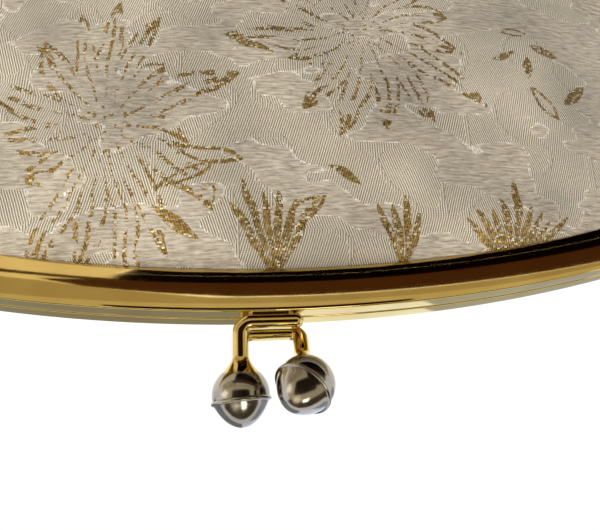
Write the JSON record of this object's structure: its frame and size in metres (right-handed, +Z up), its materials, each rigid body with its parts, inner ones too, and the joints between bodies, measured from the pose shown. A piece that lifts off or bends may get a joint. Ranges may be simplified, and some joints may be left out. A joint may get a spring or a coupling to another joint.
{
  "type": "kiss lock frame purse",
  "caption": "Brocade clutch purse on an arched, hinged gold-tone channel frame that snaps shut with two crossing beads.",
  "frame": {"origin": "centre of the base, on the surface that the purse stands on", "axes": "+Z up, -Y towards the front, X along the frame"},
  "size_m": [0.218, 0.0434, 0.1432],
  "materials": {
    "gold_plated_frame": "polished gold-tone plate on brass",
    "gold_plated_fittings": "polished gold-tone plate",
    "nickel_beads": "polished pale nickel plate",
    "paper_cord": "twisted kraft paper",
    "brocade": "silvery ivory damask with gold lurex flowers",
    "interlining": "needled cotton felt",
    "base_board": "grey-brown board",
    "satin_lining": "champagne satin"
  },
  "bodies": {
    "bag": {"left_hinge_rivet": "gold_plated_fittings", "right_hinge_rivet": "gold_plated_fittings", "front_panel_lower": "brocade", "rear_panel_lower": "brocade", "left_gusset": "brocade", "right_gusset": "brocade", "base_cloth": "brocade", "base_board": "base_board", "front_interlining_lower": "interlining", "rear_interlining_lower": "interlining", "front_lining_lower": "satin_lining", "rear_lining_lower": "satin_lining", "left_lining_gusset": "satin_lining", "right_lining_gusset": "satin_lining", "lining_base": "satin_lining", "slip_pocket": "satin_lining", "front_panel_fold": "brocade", "rear_panel_fold": "brocade", "front_lining_fold": "satin_lining", "rear_lining_fold": "satin_lining"},
    "front_half": {"front_frame": "gold_plated_frame", "front_clasp_stem": "gold_plated_fittings", "front_clasp_inner_shell": "nickel_beads", "front_clasp_outer_shell": "nickel_beads", "front_packing_cord": "paper_cord", "front_panel_upper": "brocade", "front_interlining_upper": "interlining", "front_lining_upper": "satin_lining"},
    "rear_half": {"rear_frame": "gold_plated_frame", "rear_clasp_stem": "gold_plated_fittings", "rear_clasp_inner_shell": "nickel_beads", "rear_clasp_outer_shell": "nickel_beads", "rear_packing_cord": "paper_cord", "rear_panel_upper": "brocade", "rear_interlining_upper": "interlining", "rear_lining_upper": "satin_lining"}
  },
  "joints": [
    {"name": "front_half_swing", "type": "hinge", "parent": "bag", "child": "front_half", "pos_m": [0, 0, 0.068], "axis": [1, 0, 0], "range_deg": [0, 40], "deforming": ["front_panel_fold", "front_lining_fold"]},
    {"name": "rear_half_swing", "type": "hinge", "parent": "bag", "child": "rear_half", "pos_m": [0, 0, 0.068], "axis": [-1, 0, 0], "range_deg": [0, 40], "deforming": ["rear_panel_fold", "rear_lining_fold"]}
  ]
}
